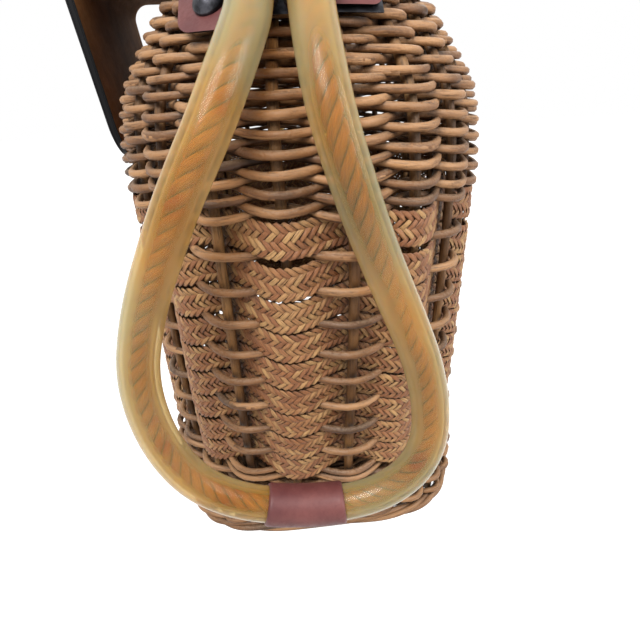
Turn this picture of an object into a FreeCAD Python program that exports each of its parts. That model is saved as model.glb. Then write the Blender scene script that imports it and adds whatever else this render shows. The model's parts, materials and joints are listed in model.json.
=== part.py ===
"""Wicker creel with a flap lid and a tube handle at each narrow end.

Millimetres. Origin at the centre of the foot's underside, +Z up. The near handle is at -Y,
the lid is hinged along +X and its apron hangs in front of the bulge at -X.
"""
import FreeCAD, Part
import math
import os

from FreeCAD import Vector

# Woven body: an oval that bulges below the neck
body_height = 248.0
bulge_half_width = 88.0
bulge_half_length = 148.0
oval_power_share = 2.35
foot_power_share = 4.0
# height, half width and half length, each as a share of the three sizes above
outline_shares = (
    (0.00, 0.875, 0.826),
    (0.10, 0.972, 0.855),
    (0.28, 1.000, 0.905),
    (0.48, 0.989, 0.966),
    (0.62, 0.983, 1.000),
    (0.74, 0.980, 0.996),
    (0.83, 0.938, 0.946),
    (0.93, 0.777, 0.800),
    (1.00, 0.590, 0.705),
)
outline_points = 36
section_step = 14.0

foot_height = 36.0
foot_flare = 1.5
foot_wall = 8.0
foot_settled_share = 0.9
rod_band_height = 85.0
weave_wall = 3.5
groove_depth = 2.0
foot_courses = 7
plait_courses = 9
rod_courses = 16
# one course of the weave from its bottom up: shares of the course's height and of the groove's depth
rod_course_shares = ((0.00, 1.0), (0.30, 0.0), (0.70, 0.0))
plait_course_shares = ((0.00, 1.0), (0.20, 0.2), (0.38, 0.2), (0.44, 1.0), (0.50, 0.0), (0.94, 0.0))
base_thickness = 5.0
weave_gap = 0.1

stake_count = 30
stake_radius = 2.0
stake_gap = 0.2

rim_height = 8.0
rim_proud = 3.0
rim_wall = 8.5
rim_edge = 2.5

# Lid: one bent flap in three layers, lining inside, board, cover outside
lining_thickness = 0.8
board_thickness = 2.0
cover_thickness = 1.0
lid_rest_gap = 0.3
lid_overhang = 5.66
lid_back_gap = 8.5
tongue_half_width = 58.0
tongue_shift = 20.0
back_half_width = 55.0
tongue_blend = 34.0
lid_widest_share = 0.35
apron_stand_off = 13.4
apron_bend = 13.0
apron_drop = 86.0
apron_lean_deg = 8.0
apron_corner = 16.0
apron_drop_cut = 30.0

# Hinges at the back of the rim
hinge_stand_off = 5.58
hinge_spread = 30.0
hinge_length = 24.0
knuckle_radius = 2.6
hinge_pin_radius = 1.1
hinge_clearance = 0.05
knuckle_gap = 0.2
leaf_thickness = 1.2
wall_leaf_drop = 12.5
wall_rivet_rise = 5.0
lid_leaf_reach = 26.0
rivet_head_radius = 2.2
rivet_head_height = 0.9
rivet_inset = 6.0

# Turn button below the apron's end
button_overlap = 5.0
button_half_length = 21.0
button_half_width = 4.0
button_thickness = 3.0
button_gap = 1.2
button_block_half_width = 9.0
button_block_half_height = 12.0
button_post_radius = 2.0
button_clearance = 0.06
button_head_radius = 3.6
button_head_height = 1.4

# Handle: a loop of tube with a rope inside, hung from a pin
handle_shift = -7.8
tube_radius = 7.0
tube_bore_radius = 5.0
rope_radius = 3.6
leg_spacing = 17.0
rest_gap = 0.5
pin_drop = 8.0
pin_stand_off = 13.4
pin_radius = 2.5
pin_clearance = 0.06
pin_head_radius = 4.0
pin_head_length = 2.0
eye_radius = 6.0
eye_width = 13.0
ferrule_wall = 1.1
ferrule_start = 5.0
ferrule_length = 12.0
tube_start = 8.0
ear_thickness = 2.0
ear_radius = 6.5
ear_gap = 0.4
bracket_thickness = 1.4
bracket_gap = 0.25
bracket_half_width = 33.0
bracket_below_pin = 17.0
bracket_above_pin = 3.0
tab_thickness = 2.6
tab_width = 19.0
tab_inner_x = 14.0
tab_drop = 4.0
tab_lengths = (25.0, 19.0)
tab_round = 4.0
stud_radius = 5.6
stud_height = 3.2
stud_rim = 1.0
stud_places = (22.0, 25.0)
stud_rise = 8.5
stud_shank_radius = 1.6
grip_wall = 1.4
grip_half_length = 16.0
grip_shift = -2.4
loop_width = 103.0
loop_drop = 190.0

# The loop's centre line seen from its end, from the left leg's top round to the right leg's top:
# sideways and down, as shares of the loop's width and drop
loop_shares = (
    (-0.083, 0.082), (-0.126, 0.141), (-0.176, 0.200), (-0.226, 0.254), (-0.283, 0.307),
    (-0.344, 0.366), (-0.402, 0.430), (-0.460, 0.496), (-0.509, 0.567), (-0.545, 0.644),
    (-0.548, 0.723), (-0.518, 0.810), (-0.452, 0.889), (-0.355, 0.944), (-0.211, 0.983),
    (-0.023, 0.999), (0.168, 1.000), (0.310, 0.972), (0.409, 0.921), (0.455, 0.848),
    (0.447, 0.760), (0.411, 0.674), (0.355, 0.593), (0.295, 0.516), (0.243, 0.448),
    (0.194, 0.377), (0.158, 0.318), (0.123, 0.254), (0.102, 0.199), (0.090, 0.141),
    (0.083, 0.082),
)
arc_share = 0.45

overrun = 5.0
parallel_share = 0.9
fine_turns = 1440
half_round_deg = 180.0

# Places that follow from the sizes above
bulge_z = next(height for height, width, length in outline_shares if length == 1) * body_height
rim_half_width = outline_shares[-1][1] * bulge_half_width
rim_half_length = outline_shares[-1][2] * bulge_half_length
braided_top = body_height - rod_band_height
rim_top = body_height + rim_height
lid_underside = rim_top + lid_rest_gap
lid_top = lid_underside + lining_thickness + board_thickness + cover_thickness
lid_half_length = rim_half_length + lid_overhang
apron_front = bulge_half_width + apron_stand_off
apron_bottom = lid_top - apron_drop
hinge_axis_x = rim_half_width + hinge_stand_off
hinge_axis_z = lid_top + leaf_thickness - knuckle_radius
lid_back = hinge_axis_x - lid_back_gap
button_height = apron_bottom + button_overlap - button_half_length
pin_height = body_height - pin_drop
bracket_bottom = pin_height - bracket_below_pin
bracket_top = pin_height + bracket_above_pin
tab_top = body_height - tab_drop
tab_bottoms = tuple(tab_top - length for length in tab_lengths)


def write_node(name, solids):
    """Write one sub-part, a single solid or a group of separate ones."""
    solids = solids if isinstance(solids, list) else [solids]
    whole = solids[0] if len(solids) == 1 else Part.makeCompound(solids)
    whole.exportStep("parts/" + name + ".step")
    print(name, len(whole.Solids), "volume", round(whole.Volume, 1), "valid", whole.isValid())


def signed_power(value, power):
    """Raise the size of a number to a power and keep its sign."""
    return math.copysign(abs(value) ** power, value)


def half_sizes(z):
    """Half width and half length of the woven outside at height z, on one smooth curve."""
    rows = [(s * body_height, w * bulge_half_width, l * bulge_half_length) for s, w, l in outline_shares]
    index = 0
    while index < len(rows) - 2 and z > rows[index + 1][0]:
        index += 1
    low, high = rows[index], rows[index + 1]
    span = high[0] - low[0]
    part = min(max((z - low[0]) / span, 0.0), 1.0)
    beyond = z - low[0] - part * span
    sizes = []
    for column in (1, 2):
        slopes = []
        for place in (index, index + 1):
            before, after = rows[max(place - 1, 0)], rows[min(place + 1, len(rows) - 1)]
            slopes.append((after[column] - before[column]) / (after[0] - before[0]))
        square, cube = part ** 2, part ** 3
        sizes.append((2 * cube - 3 * square + 1) * low[column] + (cube - 2 * square + part) * span * slopes[0]
                     + (3 * square - 2 * cube) * high[column] + (cube - square) * span * slopes[1]
                     + beyond * slopes[1 if beyond > 0 else 0])
    return sizes


def lean_stretch(z):
    """How much longer a level step through the wall is than a square one, at the wall's steepest lean."""
    low, high = half_sizes(z - stake_radius), half_sizes(z + stake_radius)
    slope = max(abs(high[0] - low[0]), abs(high[1] - low[1])) / (2 * stake_radius)
    return math.sqrt(1 + slope ** 2)


def oval_power(z):
    """How square the oval is at height z: squarer at the ground, settled in the foot's upper part."""
    part = min(max(z / (foot_height * foot_settled_share), 0.0), 1.0)
    return foot_power_share + (oval_power_share - foot_power_share) * (3 * part ** 2 - 2 * part ** 3)


def oval_point(turn, z, offset):
    """A point of the oval at height z; turn 0 is the near end's middle, and it runs towards +X."""
    half_width, half_length = half_sizes(z)
    power = 2 / oval_power(z)
    return Vector((half_width + offset) * signed_power(math.sin(turn), power),
                  -(half_length + offset) * signed_power(math.cos(turn), power), z)


def even_turns(count, start_share):
    """Turns that divide the bulge's girth into equal steps, the first a share of a step from the start."""
    turns = [2 * math.pi * i / fine_turns for i in range(fine_turns + 1)]
    girth = [0.0]
    for i in range(fine_turns):
        step = oval_point(turns[i + 1], bulge_z, 0).sub(oval_point(turns[i], bulge_z, 0)).Length
        girth.append(girth[-1] + step)
    found, place = [], 0
    for k in range(count):
        goal = girth[-1] * (k + start_share) / count
        while girth[place + 1] < goal:
            place += 1
        found.append(turns[place] + (turns[1] - turns[0]) * (goal - girth[place])
                     / (girth[place + 1] - girth[place]))
    return found


SECTION_TURNS = even_turns(outline_points, 0)
STAKE_TURNS = even_turns(stake_count, 0.5)


def oval_wire(z, offset):
    """The closed outline at height z, moved outwards by offset."""
    curve = Part.BSplineCurve()
    curve.interpolate(Points=[oval_point(t, z, offset) for t in SECTION_TURNS], PeriodicFlag=True,
                      Parameters=[i / outline_points for i in range(outline_points + 1)])
    return Part.Wire([curve.toShape()])


def section_levels(low, high):
    """Heights from low to high in even steps of about the section step."""
    count = max(2, math.ceil((high - low) / section_step))
    return [low + (high - low) * i / count for i in range(count + 1)]


def box(low, high):
    """A box from its low and high corners."""
    size = high.sub(low)
    return Part.makeBox(size.x, size.y, size.z, low)


whole_bodies = {}


def oval_body(low, high, offset):
    """The solid inside the outline from low to high, moved outwards by offset."""
    if offset not in whole_bodies:
        levels = section_levels(-overrun, rim_top + overrun)
        whole_bodies[offset] = Part.makeLoft([oval_wire(z, offset) for z in levels], True, False)
    reach = 2 * (bulge_half_length + offset)
    return whole_bodies[offset].common(box(Vector(-reach, -reach, low), Vector(reach, reach, high)))


def oval_shell(low, high, outside, inside):
    """The ring of wall between two offsets of the outline."""
    return oval_body(low, high, outside).cut(oval_body(low, high, inside))


def coursed_body(low, high, offset, courses, course_shares):
    """The solid inside a wall that is woven in level courses, with grooves between them."""
    pitch = (high - low) / courses
    wires = [oval_wire(low + pitch * (course + height), offset - groove_depth * depth)
             for course in range(courses) for height, depth in course_shares]
    wires.append(oval_wire(high, offset - groove_depth))
    return Part.makeLoft(wires, True, True)


def coursed_shell(low, high, outside, inside, courses, course_shares):
    """The ring of woven wall from its coursed outside to a smooth inside."""
    whole = coursed_body(low, high, outside, courses, course_shares)
    return whole.cut(oval_body(low - overrun, high + overrun, inside))


def cylinder(radius, start, end):
    """A round bar from one point to another."""
    run = end.sub(start)
    return Part.makeCylinder(radius, run.Length, start, run)


def rim_outside(extra):
    """The solid inside the rim border's rounded outside, moved outwards by extra."""
    steps = ((body_height, -rim_edge), (body_height + rim_edge, 0), (rim_top - rim_edge, 0),
             (rim_top, -rim_edge))
    return Part.makeLoft([oval_wire(z, rim_proud + extra + inset) for z, inset in steps], True, True)


def make_body():
    """Foot, wall, rim, base and stakes."""
    write_node("foot_border", coursed_shell(0, foot_height, foot_flare, foot_flare - foot_wall, foot_courses,
                                            rod_course_shares))
    write_node("base_panel", oval_body(0, base_thickness, foot_flare - foot_wall - weave_gap))
    write_node("lower_wall", coursed_shell(foot_height, braided_top, 0, -weave_wall, plait_courses,
                                           plait_course_shares))
    write_node("upper_wall", coursed_shell(braided_top, body_height, 0, -weave_wall, rod_courses,
                                           rod_course_shares))
    write_node("rim_border", rim_outside(0).cut(oval_body(body_height, rim_top, rim_proud - rim_wall)))
    stakes = []
    for turn in STAKE_TURNS:
        rings = []
        for z in section_levels(foot_height + weave_gap, body_height - weave_gap):
            centre_offset = -weave_wall - (stake_gap + stake_radius) * lean_stretch(z)
            circle = Part.makeCircle(stake_radius, oval_point(turn, z, centre_offset), Vector(0, 0, 1))
            rings.append(Part.Wire([circle]))
        stakes.append(Part.makeLoft(rings, True, False))
    write_node("wall_stakes", stakes)


def flap_side(depth):
    """The flap's side line at a depth below its top skin: back edge, bend and apron end, in X and Z."""
    lean = math.radians(apron_lean_deg)
    radius = apron_bend - depth
    centre = Vector(-apron_front + apron_bend, 0, lid_top - apron_bend)
    bend_end = centre.add(Vector(-radius * math.cos(lean), 0, -radius * math.sin(lean)))
    bend_middle_turn = (math.pi / 2 + math.pi + lean) / 2
    bend_middle = centre.add(Vector(math.cos(bend_middle_turn), 0, math.sin(bend_middle_turn)) * radius)
    down = Vector(math.sin(lean), 0, -math.cos(lean))
    drop = (bend_end.z - apron_bottom) / math.cos(lean)
    return (Vector(lid_back, 0, lid_top - depth), Vector(centre.x, 0, lid_top - depth), bend_middle, bend_end,
            bend_end.add(down * drop))


def flap_layer(outer_depth, inner_depth):
    """One layer of the flap, cut to the lid's plan and to the apron's rounded corners."""
    outer, inner = flap_side(outer_depth), flap_side(inner_depth)
    edges = [Part.makeLine(outer[0], outer[1]), Part.Arc(outer[1], outer[2], outer[3]).toShape(),
             Part.makeLine(outer[3], outer[4]), Part.makeLine(outer[4], inner[4]),
             Part.makeLine(inner[4], inner[3]), Part.Arc(inner[3], inner[2], inner[1]).toShape(),
             Part.makeLine(inner[1], inner[0]), Part.makeLine(inner[0], outer[0])]
    face = Part.Face(Part.Wire(edges))
    slab = face.extrude(Vector(0, 2 * lid_half_length, 0))
    slab.translate(Vector(0, -lid_half_length, 0))
    return slab.common(lid_plan()).common(apron_front_view())


def lid_plan():
    """The lid seen from above: an oval over the rim that narrows to the apron's tongue."""
    low, high = apron_bottom - overrun, lid_top + overrun
    back, front = lid_back, -apron_front - overrun
    middle = -rim_half_width * lid_widest_share
    edges, back_ends, front_ends = [], [], []
    for way in (-1, 1):
        side, tongue = way * lid_half_length, tongue_shift + way * tongue_half_width
        back_end = Vector(back, way * back_half_width, low)
        corner = Vector(-rim_half_width - tongue_blend / 2, tongue, low)
        shoulder, neck = Part.BezierCurve(), Part.BezierCurve()
        shoulder.setPoles([back_end, Vector(back, (side + back_end.y) / 2, low),
                           Vector(back / 2, side, low), Vector(middle, side, low)])
        neck.setPoles([Vector(middle, side, low), Vector(-rim_half_width, side, low),
                       Vector(corner.x + tongue_blend / 2, tongue, low), corner])
        front_end = Vector(front, tongue, low)
        edges += [shoulder.toShape(), neck.toShape(), Part.makeLine(corner, front_end)]
        back_ends.append(back_end)
        front_ends.append(front_end)
    edges += [Part.makeLine(*back_ends), Part.makeLine(*front_ends)]
    wire = Part.Wire(Part.__sortEdges__(edges))
    return Part.Face(wire).extrude(Vector(0, 0, high - low))


def apron_front_view():
    """The flap seen from the front: full length at the top, the apron's rounded end below."""
    start = -apron_front - overrun
    reach = lid_back + overrun - start
    top = box(Vector(start, -lid_half_length - overrun, lid_top - apron_drop_cut),
              Vector(start + reach, lid_half_length + overrun, lid_top + overrun))
    lower = box(Vector(start, tongue_shift - tongue_half_width, apron_bottom),
                Vector(start + reach, tongue_shift + tongue_half_width, lid_top))
    corners = [edge for edge in lower.Edges
               if abs(edge.CenterOfMass.z - apron_bottom) < rest_gap
               and abs(abs(edge.CenterOfMass.y - tongue_shift) - tongue_half_width) < rest_gap]
    return top.fuse(lower.makeFillet(apron_corner, corners))


def make_lid():
    """Cover, board and lining of the flap."""
    board_depth = cover_thickness
    lining_depth = board_depth + board_thickness
    full_depth = lining_depth + lining_thickness
    write_node("lid_cover", flap_layer(0, board_depth))
    write_node("lid_board", flap_layer(board_depth, lining_depth))
    write_node("lid_lining", flap_layer(lining_depth, full_depth))


def make_hinges():
    """Two butt hinges with fixed pins, a packing pad behind each wall leaf, and their rivets."""
    wall_leaves, lid_leaves, pins, pads, wall_rivets, lid_rivets = [], [], [], [], [], []
    segment = hinge_length / 3
    axis_z = hinge_axis_z
    wall_solid = oval_body(body_height - wall_leaf_drop, body_height, weave_gap)
    rim_solid = rim_outside(weave_gap)
    plate_x = hinge_axis_x - knuckle_radius
    for y_middle in (-hinge_spread, hinge_spread):
        low, high = y_middle - hinge_length / 2, y_middle + hinge_length / 2

        def bar(radius, start, end):
            return cylinder(radius, Vector(hinge_axis_x, start, axis_z), Vector(hinge_axis_x, end, axis_z))

        bore = bar(hinge_pin_radius + hinge_clearance, low - overrun, high + overrun)
        middle_room = bar(knuckle_radius + knuckle_gap, low + segment - knuckle_gap,
                          high - segment + knuckle_gap)
        plate = box(Vector(plate_x, low, axis_z - wall_leaf_drop),
                    Vector(plate_x + leaf_thickness, high, axis_z))
        outer = bar(knuckle_radius, low, low + segment - knuckle_gap).fuse(
            bar(knuckle_radius, high - segment + knuckle_gap, high))
        wall_leaves.append(plate.fuse(outer).cut(middle_room).cut(bar(hinge_pin_radius, low - overrun,
                                                                      high + overrun)))
        reach = box(Vector(hinge_axis_x - lid_leaf_reach, low, lid_top),
                    Vector(hinge_axis_x, high, lid_top + leaf_thickness))
        side_room = [bar(knuckle_radius + knuckle_gap, low - overrun, low + segment),
                     bar(knuckle_radius + knuckle_gap, high - segment, high + overrun)]
        leaf = reach.fuse(bar(knuckle_radius, low + segment, high - segment))
        lid_leaves.append(leaf.cut(side_room[0]).cut(side_room[1]).cut(bore))
        pins.append(bar(hinge_pin_radius, low, high))
        pad = box(Vector(half_sizes(rim_top)[0] - rim_wall, low, axis_z - wall_leaf_drop),
                  Vector(plate_x, high, rim_top))
        pads.append(pad.cut(wall_solid).cut(rim_solid))
        for y in (low + rivet_inset, high - rivet_inset):
            z = axis_z - wall_leaf_drop + wall_rivet_rise
            face = Vector(plate_x + leaf_thickness, y, z)
            wall_rivets.append(cylinder(rivet_head_radius, face, face.add(Vector(rivet_head_height, 0, 0))))
            top = Vector(hinge_axis_x - lid_leaf_reach + rivet_inset, y, lid_top + leaf_thickness)
            lid_rivets.append(cylinder(rivet_head_radius, top, top.add(Vector(0, 0, rivet_head_height))))
    write_node("hinge_wall_leaves", wall_leaves)
    write_node("hinge_lid_leaves", lid_leaves)
    write_node("hinge_pins", pins)
    write_node("hinge_packing_pads", [solid for pad in pads for solid in pad.Solids])
    write_node("hinge_wall_rivets", wall_rivets)
    write_node("hinge_lid_rivets", lid_rivets)


def make_turn_button():
    """A turn button on a post below the apron: level it frees the lid, upright it holds the apron's end."""
    apron_end = flap_side(0)[4]
    bar_inside = apron_end.x - button_gap
    wall_x = -half_sizes(button_height)[0]
    seat = oval_body(button_height - button_half_length, button_height + button_half_length, weave_gap)
    middle = tongue_shift
    block = box(Vector(bar_inside + button_gap, middle - button_block_half_width,
                       button_height - button_block_half_height),
                Vector(wall_x + overrun, middle + button_block_half_width,
                       button_height + button_block_half_height))
    room = box(Vector(bar_inside - overrun, middle - button_half_length, apron_bottom - button_gap),
               Vector(wall_x + overrun, middle + button_half_length, apron_bottom + button_half_length))
    block = block.cut(seat).cut(room)
    post_start = Vector(bar_inside + button_gap, middle, button_height)
    post_end = Vector(bar_inside - button_thickness - button_gap, middle, button_height)
    head_end = post_end.add(Vector(-button_head_height, 0, 0))
    post = cylinder(button_post_radius, post_start, post_end).fuse(
        cylinder(button_head_radius, post_end, head_end))
    bar = box(Vector(bar_inside - button_thickness, middle - button_half_length,
                     button_height - button_half_width),
              Vector(bar_inside, middle + button_half_length, button_height + button_half_width))
    ends = [edge for edge in bar.Edges
            if abs(abs(edge.CenterOfMass.y - middle) - button_half_length) < rest_gap
            and abs(edge.CenterOfMass.x - bar_inside + button_thickness / 2) < rest_gap]
    bar = bar.makeFillet(button_half_width * parallel_share, ends)
    hole = cylinder(button_post_radius + button_clearance, post_start, post_end)
    write_node("button_block", block)
    write_node("button_post", post)
    write_node("turn_button", bar.cut(hole))


def rounded_path(points):
    """Straight runs joined by tangent arcs, each as large as its two runs allow."""
    edges, here = [], points[0]
    tightest = None
    for before, corner, after in zip(points, points[1:], points[2:]):
        back, ahead = before.sub(corner), after.sub(corner)
        reach = arc_share * min(back.Length, ahead.Length)
        back.normalize()
        ahead.normalize()
        half_turn = (math.pi - back.getAngle(ahead)) / 2
        radius = reach / math.tan(half_turn)
        tightest = radius if tightest is None else min(tightest, radius)
        inward = back.add(ahead)
        inward.normalize()
        start, end = corner.add(back * reach), corner.add(ahead * reach)
        middle = corner.add(inward * (radius / math.cos(half_turn) - radius))
        edges.append(Part.LineSegment(here, start).toShape())
        edges.append(Part.Arc(start, middle, end).toShape())
        here = end
    edges.append(Part.LineSegment(here, points[-1]).toShape())
    return Part.Wire(edges), tightest


def pipe(path, radius, start, direction):
    """A solid round bar swept along a path."""
    ring = Part.Wire([Part.makeCircle(radius, start, direction)])
    return path.makePipeShell([ring], True, False)


def near_surface(x, z, offset):
    """A point on the near end's outside, moved out by offset, and the outward direction there."""
    def place(px, pz):
        half_width, half_length = half_sizes(pz)
        power = oval_power(pz)
        share = 1 - abs(px / (half_width + offset)) ** power
        return Vector(px, -(half_length + offset) * share ** (1 / power), pz)

    step = stake_radius / 2
    across = place(x + step, z).sub(place(x - step, z))
    rise = place(x, z + step).sub(place(x, z - step))
    outward = across.cross(rise)
    outward.normalize()
    return place(x, z), outward


def loop_outward(z):
    """How far out the loop's centre line lies at height z: over the shoulder, then straight down."""
    stand_off = tube_radius + rest_gap
    widest = half_sizes(bulge_z)[1] + stand_off
    if z < bulge_z:
        return widest
    rise = (z - bulge_z) / (pin_height - bulge_z)
    return half_sizes(z)[1] + stand_off + (pin_stand_off - stand_off) * rise


def make_handle():
    """The near end's handle, bracket and leather tabs, as a table of node name to solids."""
    pin_y = -(half_sizes(pin_height)[1] + pin_stand_off)
    pin_at = Vector(handle_shift, pin_y, pin_height)
    points = []
    for across, down in loop_shares:
        z = pin_height - down * loop_drop
        points.append(Vector(handle_shift + across * loop_width, -loop_outward(z), z))
    half_spacing = leg_spacing / 2
    roots, ends = [], []
    for side, point in ((-1, points[0]), (1, points[-1])):
        root = pin_at.add(Vector(side * half_spacing, 0, 0))
        run = point.sub(root)
        run.normalize()
        roots.append((root, run))
        ends.append(root.add(run * tube_start))
    points = [ends[0]] + points + [ends[1]]
    path, tightest = rounded_path(points)
    print("handle tube length", round(path.Length, 1), "tightest radius", round(tightest, 1))
    start, direction = points[0], points[1].sub(points[0])
    outer = pipe(path, tube_radius, start, direction)
    bore = pipe(path, tube_bore_radius, start, direction)
    rope = pipe(path, rope_radius, start, direction)
    sleeve = pipe(path, tube_radius + grip_wall, start, direction)
    print("handle tube volume share", round(outer.Volume / (math.pi * tube_radius ** 2 * path.Length), 4))
    grip_middle = handle_shift + grip_shift
    loop_end = pin_height - loop_drop
    grip_reach = 2 * (tube_radius + grip_wall)
    grip_room = box(Vector(grip_middle - grip_half_length, pin_y - loop_width, loop_end - grip_reach),
                    Vector(grip_middle + grip_half_length, 0, loop_end + grip_reach))
    grip = sleeve.common(grip_room).cut(outer)

    eyes, ears = [], []
    for side, (root, run) in zip((-1, 1), roots):
        half_eye = Vector(eye_width / 2, 0, 0)
        eye = cylinder(eye_radius, root.sub(half_eye), root.add(half_eye))
        cup = cylinder(tube_radius + ferrule_wall, root.add(run * ferrule_start),
                       root.add(run * (ferrule_start + ferrule_length)))
        tube_room = cylinder(tube_radius, ends[0 if side < 0 else 1],
                             root.add(run * (ferrule_start + ferrule_length + overrun)))
        pin_room = cylinder(pin_radius + pin_clearance, root.add(Vector(-eye_width, 0, 0)),
                            root.add(Vector(eye_width, 0, 0)))
        eyes.append(eye.fuse(cup).cut(tube_room).cut(pin_room).cut(outer))
    ear_inside = half_spacing + max(eye_width / 2, tube_radius + ferrule_wall) + ear_gap
    layer = oval_shell(bracket_bottom, bracket_top, bracket_gap + bracket_thickness, bracket_gap)
    plate_room = box(Vector(handle_shift - bracket_half_width, pin_y - overrun, bracket_bottom),
                     Vector(handle_shift + bracket_half_width, 0, bracket_top))
    bracket = layer.common(plate_room)
    wall_solid = oval_body(bracket_bottom - overrun, body_height, bracket_gap)
    for side in (-1, 1):
        near_x = handle_shift + side * ear_inside
        far_x = near_x + side * ear_thickness
        low_x, high_x = min(near_x, far_x), max(near_x, far_x)
        round_end = cylinder(ear_radius, Vector(low_x, pin_y, pin_height), Vector(high_x, pin_y, pin_height))
        arm = box(Vector(low_x, pin_y, pin_height - ear_radius),
                  Vector(high_x, pin_y + 2 * pin_stand_off, bracket_top))
        ears.append(round_end.fuse(arm).cut(wall_solid))
    for ear in ears:
        bracket = bracket.fuse(ear)
    pin_end = ear_inside + ear_thickness
    pin = cylinder(pin_radius, pin_at.add(Vector(-pin_end, 0, 0)), pin_at.add(Vector(pin_end, 0, 0)))
    bracket = bracket.cut(pin)
    for side in (-1, 1):
        head_start = pin_at.add(Vector(side * pin_end, 0, 0))
        head_end = head_start.add(Vector(side * pin_head_length, 0, 0))
        pin = pin.fuse(cylinder(pin_head_radius, head_start, head_end))

    tabs, studs = [], []
    tab_inside = bracket_gap + bracket_thickness
    for side, bottom, stud_x in zip((-1, 1), tab_bottoms, stud_places):
        tab_layer = oval_shell(bottom, tab_top, tab_inside + tab_thickness, tab_inside)
        start_x = handle_shift + side * tab_inner_x
        end_x = start_x + side * tab_width
        block = box(Vector(min(start_x, end_x), pin_y - loop_width, bottom),
                    Vector(max(start_x, end_x), 0, tab_top))
        lower_edges = [edge for edge in block.Edges if abs(edge.CenterOfMass.z - bottom) < rest_gap
                       and abs(edge.tangentAt(edge.FirstParameter).y) > parallel_share]
        block = block.makeFillet(tab_round, lower_edges)
        stud_at, outward = near_surface(handle_shift + side * stud_x, bottom + stud_rise,
                                        tab_inside + tab_thickness)
        shank = cylinder(stud_shank_radius, stud_at.sub(outward * (tab_thickness + bracket_thickness)),
                         stud_at.add(outward * stud_rim))
        dome_radius = (stud_radius ** 2 + stud_height ** 2) / (2 * stud_height)
        ball = Part.makeSphere(dome_radius, stud_at.add(outward * (stud_height + stud_rim - dome_radius)))
        column = cylinder(stud_radius, stud_at.sub(outward * tab_thickness),
                          stud_at.add(outward * (2 * stud_height)))
        tab_outside = oval_body(bottom - overrun, tab_top + overrun, tab_inside + tab_thickness + weave_gap)
        head = column.common(ball).cut(tab_outside)
        pin_room = cylinder(pin_head_radius + ear_gap, pin_at.add(Vector(-bracket_half_width, 0, 0)),
                            pin_at.add(Vector(bracket_half_width, 0, 0)))
        ear_room = ears[0 if side < 0 else 1]
        studs.append(head.fuse(shank.cut(wall_solid)))
        tabs.append(tab_layer.common(block).cut(shank).cut(ear_room).cut(pin_room))
        bracket = bracket.cut(shank)
    return {"tube": [outer.cut(bore)], "rope": [rope], "grip": [grip], "eyes": eyes, "bracket": [bracket],
            "pin": [pin], "tabs": tabs, "studs": studs}


def make_handles():
    """The near handle, and the far one turned half round."""
    nodes = make_handle()
    for name, solids in nodes.items():
        write_node("near_handle_" + name, [piece for solid in solids for piece in solid.Solids])
        turned = []
        for solid in solids:
            copy = solid.copy()
            copy.rotate(Vector(0, 0, 0), Vector(0, 0, 1), half_round_deg)
            turned += copy.Solids
        write_node("far_handle_" + name, turned)
    pin_y = half_sizes(pin_height)[1] + pin_stand_off
    print("handle pin out", round(pin_y, 3), "up", round(pin_height, 3))
    print("lid hinge out", round(hinge_axis_x, 3), "up", round(hinge_axis_z, 3), "button up",
          round(button_height, 3))


os.makedirs("parts", exist_ok=True)
make_body()
make_lid()
make_hinges()
make_turn_button()
make_handles()
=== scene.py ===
"""Looks of a wicker creel with a flap lid and a rope-cored tube handle at each narrow end."""

import json
import math
import random
from bisect import bisect_right

import bmesh
import bpy
from bpy.props import FloatProperty, IntProperty, PointerProperty, StringProperty
from mathutils import Matrix, Vector


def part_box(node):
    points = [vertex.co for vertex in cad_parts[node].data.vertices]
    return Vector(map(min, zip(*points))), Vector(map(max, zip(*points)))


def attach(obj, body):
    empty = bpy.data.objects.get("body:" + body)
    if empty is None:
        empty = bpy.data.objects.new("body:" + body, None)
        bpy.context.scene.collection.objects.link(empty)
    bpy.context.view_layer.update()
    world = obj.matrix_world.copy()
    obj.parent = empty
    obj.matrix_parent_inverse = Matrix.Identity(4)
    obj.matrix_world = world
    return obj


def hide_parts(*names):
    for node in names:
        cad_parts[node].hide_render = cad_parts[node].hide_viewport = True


bl_info = {
    "name": "Wicker creel",
    "version": (1, 0, 0),
    "blender": (4, 5, 0),
    "location": "View3D > Sidebar > Creel",
    "description": "Builds the weave, leather, tube handles and metal of a wicker creel",
    "category": "Add Mesh",
}

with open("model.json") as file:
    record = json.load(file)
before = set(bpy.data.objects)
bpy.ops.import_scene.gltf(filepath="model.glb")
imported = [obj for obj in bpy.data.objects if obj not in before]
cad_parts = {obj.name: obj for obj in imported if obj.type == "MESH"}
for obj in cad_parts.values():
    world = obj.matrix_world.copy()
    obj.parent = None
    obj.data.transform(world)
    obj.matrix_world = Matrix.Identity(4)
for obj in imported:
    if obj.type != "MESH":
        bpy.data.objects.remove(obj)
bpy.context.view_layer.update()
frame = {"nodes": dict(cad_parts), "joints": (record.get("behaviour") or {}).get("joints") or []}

MM = 0.001

# The woven body, as the frame has it
BODY_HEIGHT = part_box("upper_wall")[1].z
HALF_WIDTH = 88.0 * MM
HALF_LENGTH = 148.0 * MM
FOOT_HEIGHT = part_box("foot_border")[1].z
BRAIDED_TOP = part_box("lower_wall")[1].z
RIM_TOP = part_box("rim_border")[1].z
OVAL_POWER_SHARE = 2.35
FOOT_POWER_SHARE = 4.0
FOOT_SETTLED_SHARE = 0.9
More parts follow.
